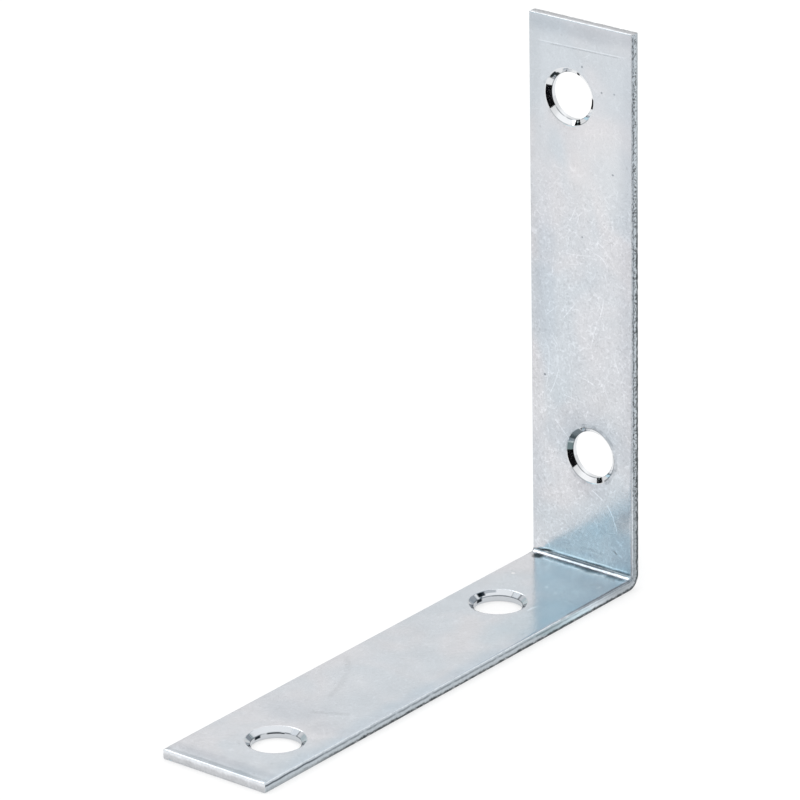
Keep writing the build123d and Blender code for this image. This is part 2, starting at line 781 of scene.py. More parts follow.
@dataclass(frozen=True)
class ZincPlate:
    """Bright zinc plate over rolled steel: clouded, finely grained and lightly scuffed, with painted
    shade, highlights and reflections in the holes, at the fold and on the sheared edges.

    Its sizes and heights are millimetres, and a gain is how much brighter or darker a detail is than
    the plating round it.
    """

    name: str = "zinc_plated_steel"
    cool: Tone = (0.600, 0.640, 0.680)
    pale: Tone = (0.658, 0.664, 0.690)
    bored: Tone = (0.740, 0.755, 0.775)
    # The base leg's holes get a darker copy of the bore colour: painted shade, which dims the lamp that
    # they mirror.
    base_bore_painted_shade: Tone = (0.580, 0.605, 0.635)
    # Near-black on the lip along the sides' foot: painted shade, for the shadowed floor under the edge
    # that the lip mirrors.
    torn_lip_shade: Tone = (0.045, 0.055, 0.06)
    groove: Tone = (0.11, 0.13, 0.15)
    # Tones up the sheared sides; the top band is a painted highlight on the rounded corner.
    side_bands_and_highlight: tuple[tuple[float, Tone], ...] = (
        (0.00, (0.36, 0.39, 0.41)),
        (0.26, (0.42, 0.46, 0.49)),
        (0.42, (0.54, 0.59, 0.63)),
        (0.66, (0.46, 0.51, 0.55)),
        (0.86, (0.52, 0.57, 0.62)),
        (0.95, (0.76, 0.80, 0.84)),
    )
    # Tones up the sheared ends; the lighter upper part is a painted highlight.
    end_bands_and_highlight: tuple[tuple[float, Tone], ...] = (
        (0.00, (0.54, 0.55, 0.57)),
        (0.50, (0.58, 0.59, 0.61)),
        (0.74, (0.76, 0.78, 0.81)),
        (0.92, (0.74, 0.76, 0.79)),
    )
    cloud_size: float = 16.0
    mottle_size: float = 3.2
    grain_size: float = 0.3
    lump_size: float = 1.4
    fine_size: float = 0.33
    hair_shifts_and_sizes: tuple[tuple[float, float], ...] = ((11, 7), (57, 4), (83, 2.5), (29, 1.6))
    fleck_shift: tuple[float, float, float] = (31.0, 7.0, 3.0)
    mottle_gain: float = 0.14
    grain_gain: float = 0.24
    speck_gain: float = 0.13
    fleck_gain: float = 0.09
    pit_gain: float = 0.12
    hair_gain: float = 0.12
    cut_edge: tuple[float, float] = (-0.16, -0.06)
    grain_height: float = 0.004
    wave_height: float = 0.03
    wave_size: float = 7.0
    patch_size: float = 2.5
    face_roughness: float = 0.19
    patch_roughness: float = 0.10
    crease_roughness: float = 0.10
    bore_roughness: float = 0.07
    cut_roughness: float = 0.33

    def material(self, strip: FoldedStrip) -> bpy.types.Material:
        """Make the finish for one strip.

        Args:
            strip: The strip that wears it, for the places of its holes and edges.

        Returns:
            The finished material.
        """
        blank = Blank(bpy.data.materials.new(self.name), strip)
        bored = self._bored(blank)
        cut = self._cut(blank)
        grain = blank.noise(self.grain_size, 3.0)
        colour = blank.mix(cut, self._face_colour(blank, grain), self._cut_colour(blank))
        colour = blank.mix(bored, colour, self._bore_colour(blank))
        ragged = 0.7 * (blank.noise(0.9) - 0.5)
        # Lay the painted shade of the fold, the small marks, and the painted reflections and marks of
        # the holes.
        for mark in FOLD_PAINTED_SHADE + SMALL_MARKS + HOLE_REFLECTIONS_AND_MARKS:
            colour = mark.over(colour, blank, ragged)
        skin = self.grain_height * grain + self.wave_height * blank.noise(self.wave_size, 1.0)
        inputs = {"Strength": 1.0, "Distance": MM, "Height": skin * (1 - bored)}
        steel = blank.node(
            "ShaderNodeBsdfPrincipled",
            inputs={
                "Base Color": colour,
                "Metallic": 1.0,
                "Roughness": self._roughness(blank, cut, bored),
                "Normal": blank.node("ShaderNodeBump", inputs=inputs)["Normal"],
            },
        )
        return blank.finish(steel["BSDF"])

    def _roughness(self, blank: Blank, cut: Signal, bored: Signal) -> Signal:
        """The roughness, a little uneven on the faces.

        Args:
            blank: The material's node tree.
            cut: Where the sheared edges are.
            bored: Where the holes' lands and countersinks are.

        Returns:
            The roughness.
        """
        crease = blank.from_heel.ramp(3.8, 2.8)
        layers = (
            (self.crease_roughness, crease),
            (self.cut_roughness, cut),
            (self.bore_roughness, bored),
        )
        roughness = self.face_roughness + self.patch_roughness * (blank.noise(self.patch_size) - 0.5)
        for value, share in layers:
            roughness = roughness + (value - roughness) * share
        return roughness

    def _bored(self, blank: Blank) -> Signal:
        """Where the screw holes' lands and countersinks are.

        Args:
            blank: The material's node tree.

        Returns:
            1 inside the holes' rims, and 0 elsewhere.
        """
        nearest: Signal | float = 100.0
        for hole in blank.strip.holes:
            nearest = blank.vector("DISTANCE", blank.flat, hole.centre).least(nearest)
        rim = blank.strip.holes[0].rim_radius / MM
        return nearest.ramp(rim + 0.12, rim - 0.02)

    def _bore_colour(self, blank: Blank) -> Signal:
        """The screw holes: bright, with a broken dark seam where land and countersink meet. The base
        leg's holes are painted darker, as shade that dims the lamp they mirror.

        Args:
            blank: The material's node tree.

        Returns:
            The colour.
        """
        broken = blank.noise(1.5, 1.0).ramp(0.3, 0.5)
        seam = abs(blank.up - blank.strip.land_top / MM).ramp(0.11, 0.03) * broken
        # Painted shade: the base leg's holes take the darker bore colour.
        plated = blank.mix(blank.on_wall, self.base_bore_painted_shade, self.bored)
        return blank.mix(0.7 * seam, plated, self.groove)

    def _cut(self, blank: Blank) -> Signal:
        """Where the sheared sides and ends are: 1 on them."""
        side = abs(blank.across) - blank.strip.width / 2 / MM
        return side.most(blank.past_ends).ramp(*self.cut_edge)

    def _face_colour(self, blank: Blank, grain: Signal) -> Signal:
        """The rolled faces: bluish and pale clouds, broad tones with painted shade and reflections
        among them, mottling, grain, scratches, and painted highlight and shade lines.

        Args:
            blank: The material's node tree.
            grain: The finest noise.

        Returns:
            The colour.
        """
        cloud = blank.noise(self.cloud_size, bend=0.6).ramp(0.38, 0.62)
        colour = blank.mix(cloud, self.cool, self.pale)
        ragged = 0.6 * (blank.noise(5.0) - 0.5)
        for tone_patch in TONES:
            colour = tone_patch.over(colour, blank, ragged)
        busy = 0.35 + 0.65 * blank.on_wall * blank.from_heel.ramp(68, 58)
        mottle = blank.noise(self.mottle_size, 3.0) - 0.5
        specks = blank.noise(0.45, 1.0, shift=self.fleck_shift).ramp(0.56, 0.70)
        flecks = blank.noise(0.55, 1.0, shift=self.fleck_shift).ramp(0.42, 0.30)
        pits = blank.noise(0.8, 0.0, shift=self.fleck_shift).ramp(0.19, 0.15)
        brightness = 1 + self.mottle_gain * mottle + self.grain_gain * busy * (grain - 0.5)
        brightness = brightness + busy * (self.speck_gain * specks - self.fleck_gain * flecks)
        brightness = brightness - self.pit_gain * pits + self._hairs(blank) * busy
        return blank.tint(colour, brightness + self._scratches_and_painted_lines(blank))

    def _hairs(self, blank: Blank) -> Signal:
        """Fine curled scratches without number, of four sizes.

        Args:
            blank: The material's node tree.

        Returns:
            How much brighter they make the face.
        """
        total: Signal | float = 0.0
        for start, size in self.hair_shifts_and_sizes:
            shift = (start, 2 * start, start / 3)
            off_line = abs(blank.noise(size, 0.0, 0.4, shift) - 0.5)
            broken = blank.noise(1.7, 1.0, shift=shift).ramp(0.49, 0.60)
            total = off_line.ramp(0.05 / size, 0.01 / size) * broken + total
        return total * self.hair_gain

    def _scratches_and_painted_lines(self, blank: Blank) -> Signal:
        """The scratches and smears that can be told apart, and the painted highlight and shade lines on
        the scored line and beside the crease, on the inner faces only.

        Args:
            blank: The material's node tree.

        Returns:
            How much brighter or darker they make the face.
        """
        total = sum(stroke.share(blank) for stroke in SCRATCHES_AND_PAINTED_LINES)
        broken = blank.noise(0.7).ramp(0.30, 0.55)
        return total * (0.4 + 0.6 * broken) * blank.up.ramp(1.2, 1.5)

    def _cut_colour(self, blank: Blank) -> Signal:
        """The sheared edges: a painted highlight on the top corner, a dark groove, a smooth band and a
        lip painted black as shade.

        Args:
            blank: The material's node tree.

        Returns:
            The colour.
        """
        fine = blank.noise(self.fine_size) - 0.5
        lumps = blank.noise(self.lump_size) - 0.5
        height = (blank.up + 0.15 * fine + 0.2 * lumps) / (blank.strip.thickness / MM)
        side = blank.mix(self._groove(blank, lumps), blank.bands(height, self.side_bands_and_highlight), self.groove)
        side = blank.tint(side, self._side_light(blank, fine))
        # The lip is painted near-black: painted shade.
        side = blank.mix(0.92 * self._lip(blank, fine, lumps), side, self.torn_lip_shade)
        end_light = 1 - 0.25 * blank.on_wall + 0.3 * fine + 0.2 * lumps
        end = blank.tint(blank.bands(height, self.end_bands_and_highlight), end_light)
        return blank.mix(blank.past_ends.ramp(*self.cut_edge), side, end)

    def _groove(self, blank: Blank, lumps: Signal) -> Signal:
        """The dark groove along the sides, which is higher on the wall leg and fades at the heel.

        Args:
            blank: The material's node tree.
            lumps: Noise that bends and breaks the groove.

        Returns:
            1 in the groove, and 0 off it.
        """
        off_groove = abs(blank.up + 0.3 * lumps - (1.13 + 0.21 * blank.on_wall))
        groove = (off_groove * (1 - 0.28 * blank.on_wall)).ramp(0.22, 0.06)
        groove = groove * (0.35 + 0.65 * blank.from_heel.ramp(12, 26))
        near_end = (1 - blank.on_wall) * blank.from_heel.ramp(75, 79)
        return groove * (0.6 + 0.4 * near_end) * (0.6 + 2.2 * lumps + 0.6 * near_end).ramp(0.0, 0.6)

    def _side_light(self, blank: Blank, fine: Signal) -> Signal:
        """The brightness of the sides: speckled on the wall leg, smoother and lighter by the heel.

        Args:
            blank: The material's node tree.
            fine: Noise for the specks.

        Returns:
            The brightness, about 1.
        """
        speckled = blank.on_wall * blank.up.ramp(1.58, 1.42) * blank.up.ramp(0.25, 0.6)
        speckled = speckled * (0.3 + 0.7 * blank.from_heel.ramp(9, 20))
        smooth = blank.from_heel.ramp(24, 14) * blank.up.ramp(1.5, 1.3) * blank.up.ramp(0.45, 0.6)
        on_base = (1 - blank.on_wall) * (0.75 * blank.from_heel.ramp(5, 14) - 0.15)
        lift = (on_base - 0.25 * blank.on_wall) * smooth
        return 1 + lift - (0.10 + 0.62 * speckled) * (fine + 0.5).ramp(0.52, 0.40)

    def _lip(self, blank: Blank, fine: Signal, lumps: Signal) -> Signal:
        """The ragged lip along the sides' foot, painted black as shade, which ends before the wall
        leg's top.

        Args:
            blank: The material's node tree.
            fine: Noise that frays the lip.
            lumps: Noise that bends the lip.

        Returns:
            1 on the lip, and 0 off it.
        """
        height = blank.up + 0.6 * lumps + 0.4 * fine - 0.15 * blank.on_wall
        height = height - 0.09 * blank.from_heel.ramp(14, 5)
        reach = blank.from_heel + 14 * blank.on_wall
        return height.ramp(0.50, 0.28) * reach.ramp(84, 66)


@dataclass(frozen=True)
class StudioPaper:
    """Plain matt paper for the floor and for the sheets that the metal mirrors."""

    paper: Paper
    tone: Tone
    glow: float = 0.0

    def material(self) -> bpy.types.Material:
        """Make the paper.

        Returns:
            The finished material.
        """
        bench = Bench(bpy.data.materials.new(self.paper.value))
        sheet = bench.node(
            "ShaderNodeBsdfPrincipled",
            inputs={
                "Base Color": (*self.tone, 1.0),
                "Roughness": 0.9,
                "Specular IOR Level": 0.0,
                "Emission Color": (*self.tone, 1.0),
                "Emission Strength": self.glow,
            },
        )
        return bench.finish(sheet["BSDF"])


@dataclass(frozen=True)
class ScrewHole:
    """One countersunk screw hole, placed on the flat blank."""

    along: float
    across: float
    radius: float
    rim_radius: float = 4.5 * MM
    rim_round: float = 0.3 * MM
    rim_steps: int = 5
    rim_overshoot: int = 4
    exit_break: float = 0.2 * MM
    sides: int = 128

    @property
    def centre(self) -> tuple[float, float, float]:
        """Its middle on the flat blank, in millimetres."""
        return self.along / MM, self.across / MM, 0.0

    def land_top(self, thickness: float, half_angle: float) -> float:
        """How high its countersink's foot lies above the outer face."""
        return thickness - (self.rim_radius - self.radius) / math.tan(half_angle)

    def punch(self, thickness: float, half_angle: float) -> bpy.types.Object:
        """Model the tool that leaves this hole: exit break, land, countersink and eased rim.

        Args:
            thickness: The strip's thickness.
            half_angle: Half the countersink's angle, in radians.

        Returns:
            The tool, standing at the hole.
        """
        slope = math.pi / 2 - half_angle
        tangent = self.rim_round * math.tan(slope / 2)
        land_top = self.land_top(thickness, half_angle)
        bpy.ops.object.select_all(action="DESELECT")
        bpy.ops.mesh.primitive_cylinder_add(
            vertices=self.sides,
            radius=self.radius,
            depth=land_top - self.exit_break,
            location=(self.along, self.across, (land_top + self.exit_break) / 2),
        )
        tool = bpy.context.active_object
        bpy.ops.object.transform_apply(location=True, rotation=True, scale=True)
        height = thickness - tangent * math.sin(slope)
        radius = self.rim_radius - tangent * math.cos(slope)
        with editing(tool):
            flared = self.radius + 2 * self.exit_break
            self._grow(self.exit_break, self.radius, -self.exit_break, flared)
            self._grow(land_top, self.radius, height, radius)
            for step in range(self.rim_steps):
                turn = slope * (1 - (step + 0.5) / self.rim_steps)
                chord = 2 * self.rim_round * math.sin(slope / self.rim_steps / 2)
                reach = self.rim_overshoot * chord if step == self.rim_steps - 1 else chord
                higher = height + reach * math.sin(turn)
                wider = radius + reach * math.cos(turn)
                self._grow(height, radius, higher, wider)
                height, radius = higher, wider
        return tool

    def _grow(self, height: float, radius: float, new_height: float, new_radius: float) -> None:
        """Extrude the tool's flat end.

        Args:
            height: How high it lies.
            radius: Its radius.
            new_height: How high it is moved.
            new_radius: The radius that it gets there.
        """

        def flat_end(face: bmesh.types.BMFace) -> bool:
            """Tell whether a face is that end."""
            return abs(face.calc_center_median().z - height) < TINY and len(face.verts) > 4

        select(Pick.FACES, flat_end)
        rise = {"value": (0, 0, new_height - height)}
        bpy.ops.mesh.extrude_region_move(TRANSFORM_OT_translate=rise)
        bpy.ops.transform.resize(
            value=(new_radius / radius, new_radius / radius, 1),
            center_override=(self.along, self.across, new_height),
        )


@dataclass(frozen=True)
class Grain:
    """A rough grain that a sheared or pressed face takes."""

    size: float
    contrast: float = 1.0
    depth: int = 2

    def texture(self) -> bpy.types.Texture:
        """Make the grain.

        Returns:
            A texture for a Displace modifier.
        """
        clouds = bpy.data.textures.new("grain", "CLOUDS")
        clouds.noise_scale = self.size
        clouds.noise_depth = self.depth
        clouds.contrast = self.contrast
        clouds.use_clamp = True
        return clouds


@dataclass
class FoldedStrip:
    """The whole brace: one strip with rolled corners, sheared edges, four holes and a fold."""

    base_length: float
    wall_length: float
    width: float
    heel: float
    name: str = "folded_strip"
    thickness: float = 1.65 * MM
    fold_radius: float = 2.25 * MM
    fold_steps: int = 18
    edge_round: float = 0.18 * MM
    edge_round_steps: int = 3
    countersink_angle: float = math.radians(100.0)
    rung: float = 0.2 * MM
    edge_rows: int = 8
    roll_rows: int = 5
    far_roll: tuple[float, float] = (1.1 * MM, 0.07 * MM)
    near_roll: tuple[float, float] = (0.6 * MM, 0.05 * MM)
    base_end_roll: tuple[float, float] = (2.0 * MM, 0.09 * MM)
    wall_end_roll: tuple[float, float] = (1.2 * MM, 0.04 * MM)
    burnish_foot: float = 0.9 * MM
    groove_depth: float = 0.03 * MM
    burnish_depth: float = 0.02 * MM
    fracture_depth: float = 0.07 * MM
    lip_depth: float = 0.08 * MM
    burnish_grain: Grain = Grain(0.5 * MM, 1.6)
    fracture_grain: Grain = Grain(0.35 * MM, 2.2)
    lip_grain: Grain = Grain(0.8 * MM, 2.5)
    crease_ridge: float = 0.025 * MM
    crease_offset: float = 0.25 * MM
    crease_width: float = 0.3 * MM
    score_drop: tuple[float, float] = (4.4 * MM, 3.95 * MM)
    score_half_width: float = 0.09 * MM
    score_bed: float = 1.5 * MM
    score_cuts: int = 24
    score_depth: float = 0.035 * MM
    score_grain: Grain = Grain(1.6 * MM, 2.0)
    smooth_angle: float = math.radians(35)
    shrink: float = 0.99998
    holes: list[ScrewHole] = field(default_factory=list)
    piece: bpy.types.Object = field(init=False)

    @classmethod
    def from_frame(cls, node: str, record: Mapping[str, Any]) -> FoldedStrip:
        """Take the strip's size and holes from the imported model.

        Args:
            node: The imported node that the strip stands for.
            record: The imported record, with the mounts.

        Returns:
            The strip, with nothing built yet.
        """
        low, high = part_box(node)
        strip = cls(
            base_length=high.x - low.x,
            wall_length=high.z - low.z,
            width=high.y - low.y,
            heel=low.x,
        )
        strip.holes = [strip.hole_at(mount) for mount in record["mounts"] if mount["kind"] == "bore"]
        return strip

    @property
    def land_top(self) -> float:
        """How high the countersinks' feet lie above the outer face."""
        return self.holes[0].land_top(self.thickness, self.countersink_angle / 2)

    @property
    def fold_length(self) -> float:
        """The part of the blank that the fold takes, measured on its outer face."""
        return self.fold_radius * math.pi / 2

    @property
    def fold_foot(self) -> float:
        """Where the base leg's flat begins, along X."""
        return self.heel + self.fold_radius

    @property
    def fold_start(self) -> float:
        """Where the wall leg's flat ends, along X on the flat blank."""
        return self.fold_foot - self.fold_length

    @property
    def blank_ends(self) -> tuple[float, float]:
        """The flat blank's two ends along X: the wall leg's and the base leg's."""
        wall_end = self.fold_start - (self.wall_length - self.fold_radius)
        return wall_end, self.heel + self.base_length

    @property
    def row_height(self) -> float:
        """How far apart the rows of points lie up the cut edges."""
        return (self.thickness - 2 * self.edge_round) / (self.edge_rows + 1)

    def along(self, leg: Leg, from_heel: float) -> float:
        """Where a point of a leg lies along the flat blank.

        Args:
            leg: The leg that holds the point.
            from_heel: Its distance from the heel's outer face.

        Returns:
            Its X on the flat blank.
        """
        if leg is Leg.BASE:
            return self.heel + from_heel
        return self.fold_start - (from_heel - self.fold_radius)

    def hole_at(self, mount: Mapping[str, Any]) -> ScrewHole:
        """Unfold one hole onto the flat blank.

        Args:
            mount: The record's bore mount for it.

        Returns:
            The hole.
        """
        x, y, z = mount["pos_m"]
        leg = Leg.BASE if abs(mount["axis"][2]) > abs(mount["axis"][0]) else Leg.WALL
        from_heel = x - self.heel if leg is Leg.BASE else z
        radius = mount["dims"]["r_mm"] * MM
        return ScrewHole(along=self.along(leg, from_heel), across=y, radius=radius)

    def build(self) -> bpy.types.Object:
        """Model the strip from blank to fold.

        Returns:
            The finished mesh object, at the origin.
        """
        self._cut_blank()
        self._divide()
        self._punch_holes()
        self._score()
        self._roll_edges()
        self._shear_edges()
        self._remember_places()
        self._fold()
        self._smooth()
        return self.piece

    def _cut_blank(self) -> None:
        """Cut the flat blank and round all its edges."""
        wall_end, base_end = self.blank_ends
        bpy.ops.object.select_all(action="DESELECT")
        bpy.ops.mesh.primitive_cube_add(
            size=1,
            location=((wall_end + base_end) / 2, 0, self.thickness / 2),
            scale=(base_end - wall_end, self.width, self.thickness),
        )
        self.piece = bpy.context.active_object
        self.piece.name = self.name
        self.piece.data.name = self.name
        bpy.ops.object.transform_apply(location=True, rotation=True, scale=True)
        with editing(self.piece):
            bpy.ops.mesh.select_all(action="SELECT")
            bpy.ops.mesh.bevel(offset=self.edge_round, segments=self.edge_round_steps, affect="EDGES")

    def _divide(self) -> None:
        """Divide the blank finely along its edges, and coarsely over its faces."""
        wall_end, base_end = self.blank_ends
        side = self.width / 2 - self.edge_round
        steps = range(1, self.roll_rows + 1)
        far_rows = [-side + self.far_roll[0] * step / self.roll_rows for step in steps]
        near_rows = [side - self.near_roll[0] * step / self.roll_rows for step in steps]
        heights = [self.edge_round + self.row_height * (step + 1) for step in range(self.edge_rows)]
        with editing(self.piece):
            self._slice(Vector((1, 0, 0)), (self.fold_start, self.fold_foot))
            self._slice(Vector((0, 1, 0)), far_rows + near_rows)
            self._slice(Vector((0, 0, 1)), heights)
            spans = (
                (wall_end, self.fold_start, (self.fold_start - wall_end) / self.rung),
                (self.fold_start, self.fold_foot, self.fold_steps),
                (self.fold_foot, base_end, (base_end - self.fold_foot) / self.rung),
            )
            for low, high, count in spans:
                self._divide_span(low, high, count)
            select(Pick.EDGES, self._end_edge)
            bpy.ops.mesh.subdivide(number_cuts=round(self.width / self.rung))

    def _divide_span(self, low: float, high: float, count: float) -> None:
        """Divide the long edges of one span, in two passes.

        Args:
            low: Where the span begins.
            high: Where it ends.
            count: About how many steps its edges get.
        """
        first = round(math.sqrt(count))
        for steps in (first, round(count / first)):
            select(Pick.EDGES, lambda edge: self._long_edge(edge, low, high))
            bpy.ops.mesh.subdivide(number_cuts=steps - 1)

    def _slice(self, normal: Vector, places: Sequence[float]) -> None:
        """Cut right through the blank.

        Args:
            normal: The axis to cut across.
            places: Where to cut along it.
        """
        for place in places:
            bpy.ops.mesh.select_all(action="SELECT")
            bpy.ops.mesh.bisect(plane_co=normal * place, plane_no=normal, threshold=TINY)

    def _long_edge(self, edge: bmesh.types.BMEdge, low: float, high: float) -> bool:
        """Tell whether an edge runs along the strip inside one span of it.

        Args:
            edge: The edge.
            low: Where the span begins.
            high: Where it ends.

        Returns:
            True if it does.
        """
        middle = (edge.verts[0].co.x + edge.verts[1].co.x) / 2
        if not runs_along(edge, 0) or edge.calc_length() < 2 * self.edge_round:
            return False
        return low < middle < high

    def _end_edge(self, edge: bmesh.types.BMEdge) -> bool:
        """Tell whether an edge runs right across one of the strip's ends.

        Args:
            edge: The edge.

        Returns:
            True if it does.
        """
        ends = self.blank_ends
        near_end = min(abs(edge.verts[0].co.x - end) for end in ends) < self.edge_round + TINY
        return near_end and runs_along(edge, 1) and edge.calc_length() > self.width / 2

    def _punch_holes(self) -> None:
        """Punch and countersink the four screw holes."""
        for hole in self.holes:
            tool = hole.punch(self.thickness, self.countersink_angle / 2)
            apply_modifier(self.piece, "BOOLEAN", operation="DIFFERENCE", solver="EXACT", object=tool)
            bpy.data.objects.remove(tool)

    def _score(self) -> None:
        """Score the faint line that crosses the wall leg's inner face near its top."""
        wall_end = self.blank_ends[0]
        far, near = (
            Vector((wall_end + drop, side * self.width / 2, self.thickness))
            for drop, side in zip(self.score_drop, (-1, 1))
        )
        run = (near - far).normalized()
        normal = Vector((run.y, -run.x, 0))

        def within(point: Vector, reach: float) -> bool:
            """Tell whether a point of the inner face lies this near the line."""
            return abs(point.z - self.thickness) < TINY and abs((point - far).dot(normal)) < reach

        def long_on_line(edge: bmesh.types.BMEdge) -> bool:
            """Tell whether an edge is one of the long ones that the scoring cuts left."""
            reach = self.score_half_width + TINY
            inside = all(within(vert.co, reach) for vert in edge.verts)
            return inside and edge.calc_length() > self.width / 8

        with editing(self.piece):
            for shift in (-self.score_half_width, 0.0, self.score_half_width):
                select(Pick.FACES, lambda face: within(face.calc_center_median(), self.score_bed))
                bpy.ops.mesh.bisect(plane_co=far + normal * shift, plane_no=normal, threshold=TINY)
            select(Pick.EDGES, long_on_line)
            bpy.ops.mesh.subdivide(number_cuts=self.score_cuts)
        places = points_of(self.piece)
        offset = (places[:, :2] - np.array(far.xy)) @ np.array(normal.xy)
        on_top = places[:, 2] > self.thickness - TINY
        press(self.piece, "Z", -self.score_depth, on_top & (np.abs(offset) < TINY), self.score_grain)

    def _roll_edges(self) -> None:
        """Roll the inner face down towards the sheared edges, and raise it beside the crease."""
        x, y, z = points_of(self.piece).T
        wall_end, base_end = self.blank_ends
        half = self.width / 2
        top = z > self.thickness - self.edge_round - TINY
        rolls = (
            (half + y, self.far_roll),
            (half - y, self.near_roll),
            (base_end - x, self.base_end_roll),
            (x - wall_end, self.wall_end_roll),
        )
        for distance, (reach, depth) in rolls:
            share = np.clip(1 - distance / reach, 0, 1)
            press(self.piece, "Z", -depth, np.where(top, share * share, 0.0))
        ridge = np.zeros_like(x)
        for middle in (self.fold_start - self.crease_offset, self.fold_foot + self.crease_offset):
            ridge += np.exp(-((x - middle) / self.crease_width) ** 2)
        press(self.piece, "Z", self.crease_ridge, np.where(top, ridge, 0.0))

    def _shear_edges(self) -> None:
        """Give the cut edges a burnished upper half, a groove, a fractured lower half and a ragged lip.
        """
        x, y, z = points_of(self.piece).T
        wall_end, base_end = self.blank_ends
        half = self.width / 2
        half_row = self.row_height / 2
        zones = (
            (z > self.burnish_foot + half_row, self.burnish_depth, self.burnish_grain),
            (np.abs(z - self.burnish_foot) < half_row, self.groove_depth, None),
            (z < self.burnish_foot - half_row, self.fracture_depth, self.fracture_grain),
        )
        lip = z < self.edge_round + TINY
        cuts = (
            ("Y", 1.0, y > half - TINY, y > half - self.edge_round / 2),
            ("Y", -1.0, y < TINY - half, y < self.edge_round / 2 - half),
            ("X", 1.0, x > base_end - TINY, x > base_end - self.edge_round / 2),
            ("X", -1.0, x < wall_end + TINY, x < wall_end + self.edge_round / 2),
        )
        for axis, outward, face, corner in cuts:
            for zone, depth, grain in zones:
                press(self.piece, axis, -outward * depth, zone & face, grain)
            press(self.piece, axis, -outward * self.lip_depth, lip & corner, self.lip_grain)

    def _remember_places(self) -> None:
        """Write each point's place on the flat blank into the mesh."""
        blank = self.piece.data.attributes.new("blank_place", "FLOAT_VECTOR", "POINT")
        blank.data.foreach_set("vector", points_of(self.piece).astype(np.float32).ravel())

    def _fold(self) -> None:
        """Fold the wall leg up to a right angle about the heel."""
        wall_end, base_end = self.blank_ends
        bpy.ops.object.empty_add(location=(self.fold_foot, 0, 0), rotation=(math.pi / 2, 0, 0))
        bend = bpy.context.active_object
        length = base_end - wall_end
        low = (self.fold_start - wall_end) / length
        high = (self.fold_foot - wall_end) / length
        apply_modifier(
            self.piece,
            "SIMPLE_DEFORM",
            deform_method="BEND",
            deform_axis="Z",
            angle=math.radians(90),
            limits=(low, high),
            origin=bend,
        )
        bpy.data.objects.remove(bend)
        with editing(self.piece):
            bpy.ops.mesh.select_all(action="SELECT")
            bpy.ops.transform.resize(
                value=(self.shrink, self.shrink, self.shrink),
                center_override=(0, 0, self.wall_length / 2),
            )

    def _smooth(self) -> None:
        """Shade the flats flat and the rounds smooth."""
        only(self.piece)
        bpy.ops.object.shade_smooth_by_angle(angle=self.smooth_angle)
        apply_modifier(self.piece, "WEIGHTED_NORMAL", keep_sharp=True)


@dataclass(frozen=True)
class Viewpoint:
    """Where the photograph was taken from."""

    azimuth: float = math.radians(38.926)
    elevation: float = math.radians(22.485)
    roll: float = math.radians(-0.993)
    distance: float = 880.94 * MM
    aim: tuple[float, float, float] = (0.66 * MM, -0.08 * MM, 43.34 * MM)
    lens: float = 273.77
    nearest_seen: float = 0.05

    def build(self) -> bpy.types.Object:
        """Set the camera up.

        Returns:
            The camera, made the scene's own.
        """
        back = heading(self.azimuth, self.elevation)
        turn = back.to_track_quat("Z", "Y").to_matrix() @ Matrix.Rotation(self.roll, 3, "Z")
        place = Vector(self.aim) + back * self.distance
        bpy.ops.object.camera_add(location=place, rotation=turn.to_euler())
        camera = bpy.context.active_object
        camera.name = "camera"
        camera.data.lens = self.lens
        camera.data.clip_start = self.nearest_seen
        bpy.context.scene.camera = camera
        return camera


@dataclass(frozen=True)
class Sheet:
    """A sheet that only the metal sees, placed by the directions that it fills from one place."""

    name: str
    paper: StudioPaper
    azimuths: tuple[float, float]
    elevations: tuple[float, float]
    distance: float
    seen_from: tuple[float, float, float] = (0.0, 0.0, 45 * MM)

    def build(self) -> bpy.types.Object:
        """Hang the sheet up, facing the brace.

        Returns:
            The sheet.
        """
        azimuth, elevation = (math.radians(sum(pair) / 2) for pair in (self.azimuths, self.elevations))
        facing = heading(azimuth, elevation)
        wide, high = (
            2 * self.distance * math.tan(math.radians(pair[1] - pair[0]) / 2)
            for pair in (self.azimuths, self.elevations)
        )
        place = Vector(self.seen_from) + facing * self.distance
        turn = facing.to_track_quat("Z", "Y").to_euler()
        sheet = flat_sheet(self.name, place, turn, (wide * math.cos(elevation), high))
        return mirrored_only(sheet, self.paper)


def mirrored_only(sheet: bpy.types.Object, paper: StudioPaper) -> bpy.types.Object:
    """Dress a sheet so that it shows in reflections alone.

    Args:
        sheet: The sheet's mesh object.
        paper: What it is made of.

    Returns:
        The same sheet.
    """
    sheet.data.materials.append(paper.material())
    sheet.visible_camera = False
    sheet.visible_diffuse = False
    sheet.visible_shadow = False
    return sheet


